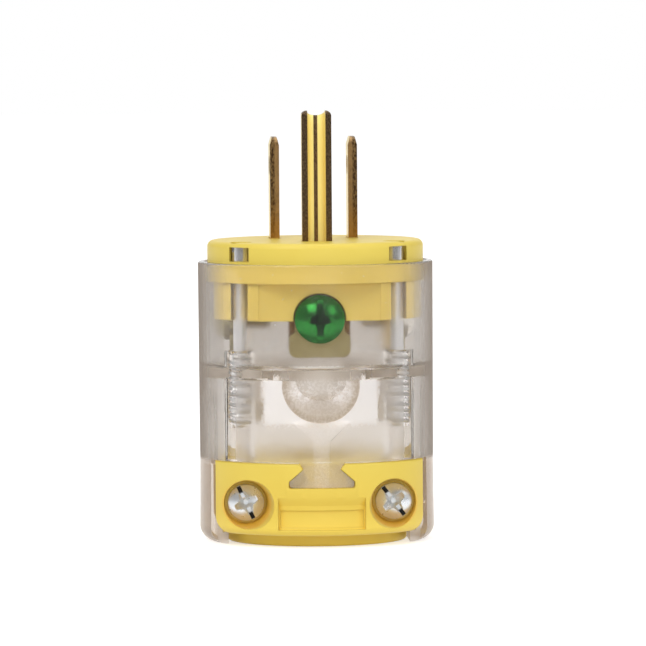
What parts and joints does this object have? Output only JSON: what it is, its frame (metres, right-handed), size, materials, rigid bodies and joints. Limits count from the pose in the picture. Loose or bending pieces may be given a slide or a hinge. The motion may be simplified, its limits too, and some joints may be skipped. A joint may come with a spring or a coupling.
{
  "type": "type b plug",
  "caption": "Rewireable mains plug with flat blades and a folded ground pin, in a clear moulded housing with a yellow face and a screwed yellow cord clamp.",
  "frame": {"origin": "centre of the cord end, in the plane that the plug stands on", "axes": "+Z along the blades, -Y to the side of the ground pin, +X to the neutral blade"},
  "size_m": [0.038, 0.038, 0.0697],
  "materials": {
    "clear_plastic": "clear polycarbonate, polished outside and lightly frosted inside",
    "yellow_plastic": "satin moulded nylon",
    "brass": "stamped and folded brass with darker sheared edges",
    "zinc_steel": "bright zinc plating",
    "nickel_steel": "nickel plating",
    "green_steel": "green dyed plating"
  },
  "bodies": {
    "root": {"housing_shell": "clear_plastic", "face_cover": "yellow_plastic", "blade_carrier": "yellow_plastic", "front_clamp_jaw": "yellow_plastic", "rear_clamp_jaw": "yellow_plastic", "line_blade": "brass", "neutral_blade": "brass", "ground_pin": "brass", "line_clamp_plate": "brass", "neutral_clamp_plate": "brass", "ground_clamp_plate": "brass", "line_terminal_screw": "brass", "neutral_terminal_screw": "nickel_steel", "ground_terminal_screw": "green_steel", "assembly_screw_left": "zinc_steel", "assembly_screw_right": "zinc_steel", "clamp_screw_left": "zinc_steel", "clamp_screw_right": "zinc_steel", "clamp_nut_left": "zinc_steel", "clamp_nut_right": "zinc_steel"}
  },
  "joints": []
}
